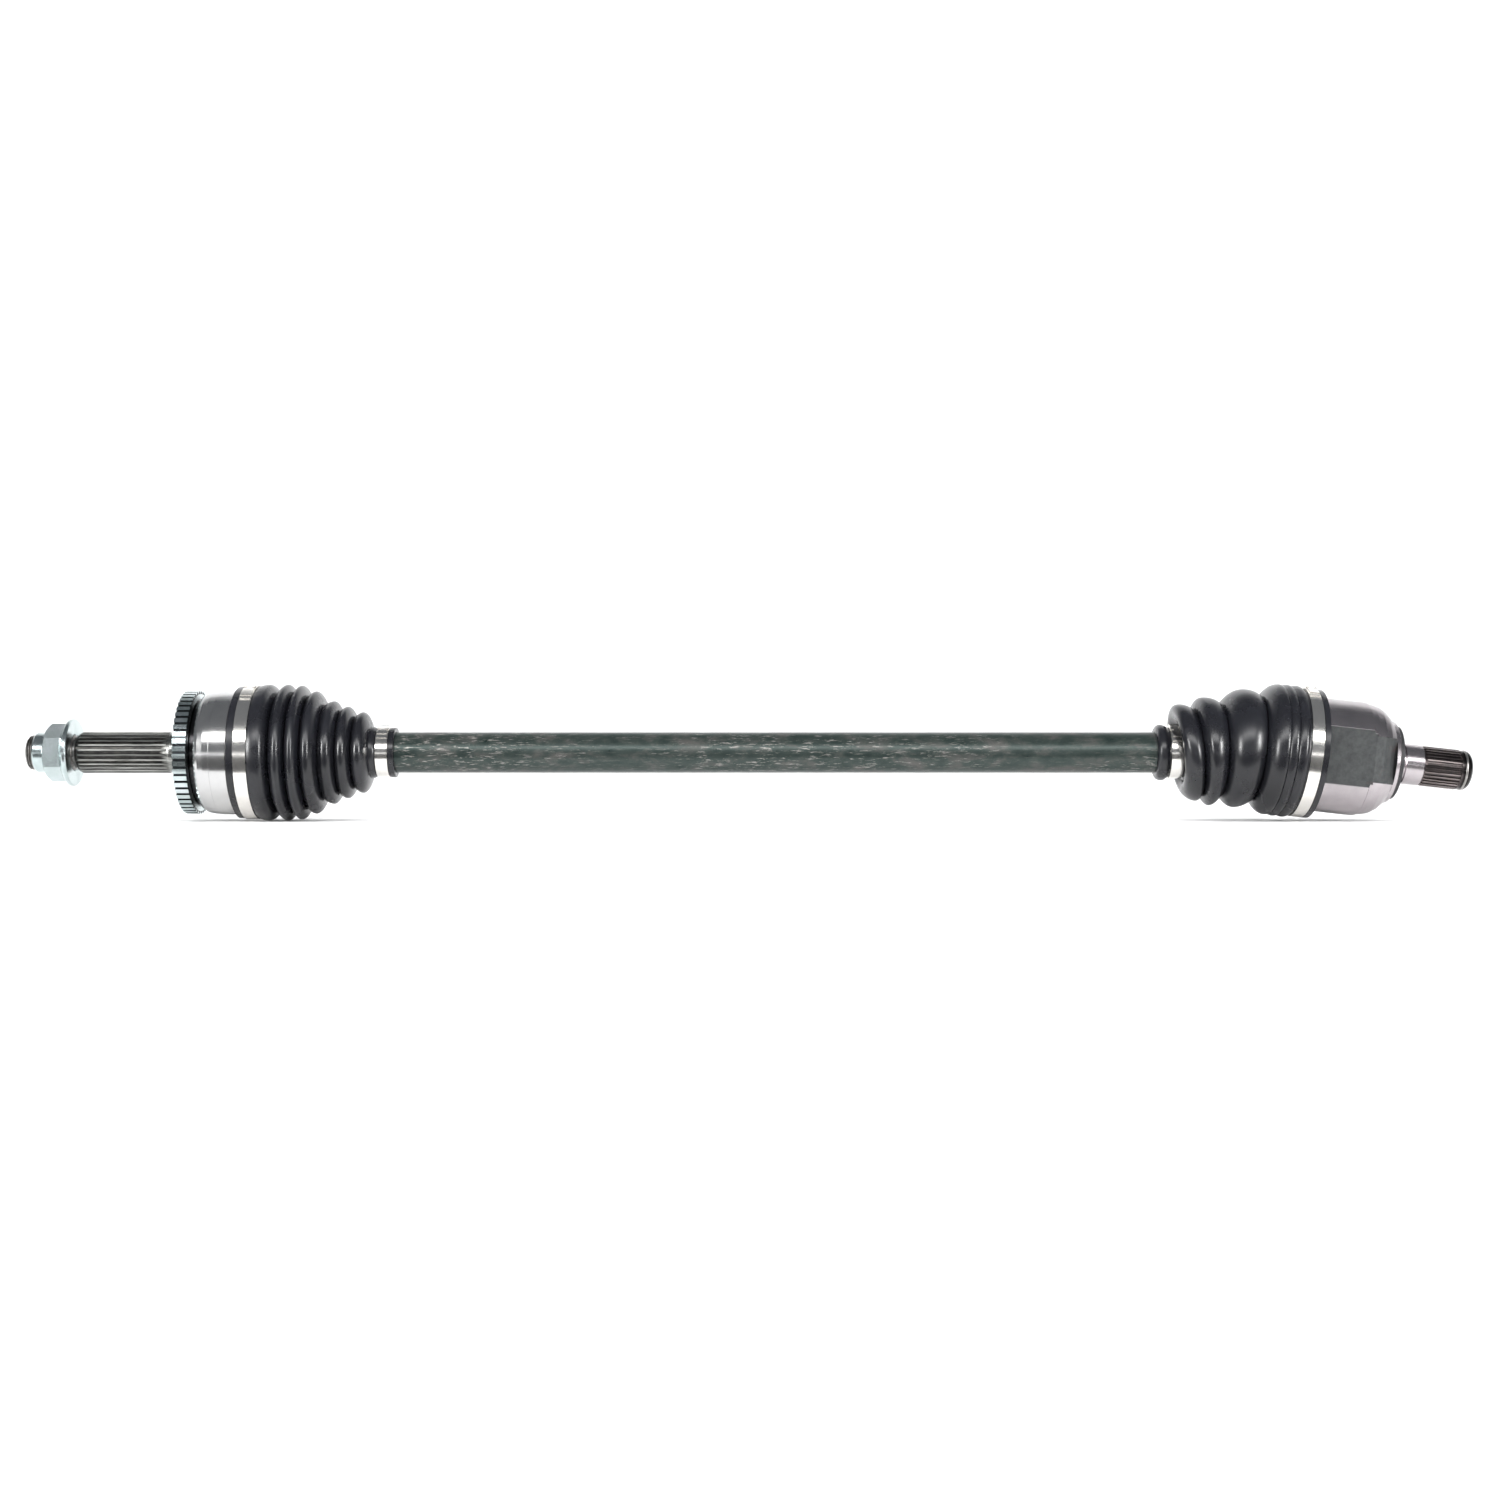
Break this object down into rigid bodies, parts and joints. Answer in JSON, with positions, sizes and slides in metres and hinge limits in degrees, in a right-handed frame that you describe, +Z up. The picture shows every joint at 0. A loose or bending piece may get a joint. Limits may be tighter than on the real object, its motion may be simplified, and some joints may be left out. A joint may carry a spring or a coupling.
{
  "type": "cv axle",
  "caption": "Front-wheel drive shaft with a fixed ball joint at the wheel end, a plunging tripod joint at the gearbox end, rubber boots and clamps.",
  "frame": {"origin": "on the wheel-end axis, in the plane of the shoulder that the wheel hub bears on", "axes": "+X along the bar towards the gearbox end, +Z up with the gearbox joint hanging down, -Y towards the viewer"},
  "size_m": [0.9214, 0.087, 0.0878],
  "materials": {
    "zinc_steel": "bright zinc plate with a pale green-blue tint",
    "machined_steel": "turned bright steel",
    "spline_steel": "dark rolled spline steel",
    "forged_steel": "forged and turned steel",
    "bearing_steel": "ground and polished bearing steel",
    "hardened_steel": "dark hardened steel",
    "spring_steel": "spring steel",
    "band_steel": "bright stainless band",
    "boot_rubber": "glossy black moulded rubber",
    "bar_paint": "dark green-black paint, scuffed",
    "black_plastic": "matt black"
  },
  "bodies": {
    "shaft": {"axle_shaft": "bar_paint", "outer_inner_race": "hardened_steel", "outer_race_circlip": "spring_steel", "outer_small_clamp": "band_steel", "outer_small_clamp_buckle": "band_steel", "tripod_spider": "hardened_steel", "spider_circlip_front": "spring_steel", "spider_circlip_rear": "spring_steel", "roller_needles_1": "bearing_steel", "roller_needles_2": "bearing_steel", "roller_needles_3": "bearing_steel", "roller_washer_1": "spring_steel", "roller_washer_2": "spring_steel", "roller_washer_3": "spring_steel", "roller_snap_ring_1": "spring_steel", "roller_snap_ring_2": "spring_steel", "roller_snap_ring_3": "spring_steel", "inner_small_clamp": "band_steel", "inner_small_clamp_buckle": "band_steel"},
    "outer_cage": {"outer_cage": "hardened_steel", "outer_ball_1": "bearing_steel", "outer_ball_2": "bearing_steel", "outer_ball_3": "bearing_steel", "outer_ball_4": "bearing_steel", "outer_ball_5": "bearing_steel", "outer_ball_6": "bearing_steel"},
    "outer_boot": {"outer_boot": "boot_rubber"},
    "outer_joint": {"outer_joint_housing": "machined_steel", "abs_tone_ring": "zinc_steel", "outer_large_clamp": "band_steel", "outer_large_clamp_buckle": "band_steel"},
    "hub_nut": {"hub_nut": "zinc_steel"},
    "inner_boot_front": {"inner_boot_front": "boot_rubber"},
    "inner_boot_rear": {"inner_boot_rear": "boot_rubber"},
    "inner_joint": {"inner_joint_housing": "forged_steel", "tulip_stop_ring": "spring_steel", "inner_boot_adapter": "black_plastic", "inner_dust_ring": "black_plastic", "stub_circlip": "spring_steel", "inner_large_clamp": "band_steel", "inner_large_clamp_buckle": "band_steel"},
    "roller_1": {"tripod_roller_1": "bearing_steel"},
    "roller_2": {"tripod_roller_2": "bearing_steel"},
    "roller_3": {"tripod_roller_3": "bearing_steel"}
  },
  "joints": [
    {"name": "outer_steer", "type": "hinge", "parent": "shaft", "child": "outer_cage", "pos_m": [0.037, 0, 0], "axis": [0, 0, 1], "range_deg": [-20, 20]},
    {"name": "outer_steer_outer_half", "type": "hinge", "parent": "outer_cage", "child": "outer_boot", "pos_m": [0.037, 0, 0], "axis": [0, 0, 1], "range_deg": [-20, 20], "deforming": ["outer_boot"]},
    {"name": "outer_lift", "type": "hinge", "parent": "outer_boot", "child": "outer_joint", "pos_m": [0.037, 0, 0], "axis": [0, 1, 0], "range_deg": [-12, 12]},
    {"name": "hub_nut_turn", "type": "hinge", "parent": "outer_joint", "child": "hub_nut", "pos_m": [-0.08, 0, 0], "axis": [1, 0, 0], "continuous": true},
    {"name": "inner_lift", "type": "hinge", "parent": "shaft", "child": "inner_boot_front", "pos_m": [0.7135, 0, 0], "axis": [0, 1, 0], "range_deg": [-22.3, 9.7], "deforming": ["inner_boot_front"]},
    {"name": "inner_swing", "type": "hinge", "parent": "inner_boot_front", "child": "inner_boot_rear", "pos_m": [0.7135, 0, 0], "axis": [0.1097, 0, 0.994], "range_deg": [-16, 16], "deforming": ["inner_boot_rear"]},
    {"name": "plunge", "type": "slide", "parent": "inner_boot_rear", "child": "inner_joint", "axis": [0.994, 0, -0.1097], "range_m": [-0.018, 0.004]},
    {"name": "roller_1_roll", "type": "hinge", "parent": "shaft", "child": "roller_1", "pos_m": [0.7135, 0, 0], "axis": [0, 1, 0], "range_deg": [-70, 16]},
    {"name": "roller_2_roll", "type": "hinge", "parent": "shaft", "child": "roller_2", "pos_m": [0.7135, 0, 0], "axis": [0, -0.5, 0.866], "range_deg": [-70, 16]},
    {"name": "roller_3_roll", "type": "hinge", "parent": "shaft", "child": "roller_3", "pos_m": [0.7135, 0, 0], "axis": [0, -0.5, -0.866], "range_deg": [-70, 16]}
  ],
  "couplings": [
    {"joint": "outer_steer_outer_half", "follows": "outer_steer", "ratio": 1},
    {"joint": "roller_1_roll", "follows": "plunge", "rad_per_m": 66.667},
    {"joint": "roller_2_roll", "follows": "plunge", "rad_per_m": 66.667},
    {"joint": "roller_3_roll", "follows": "plunge", "rad_per_m": 66.667}
  ]
}
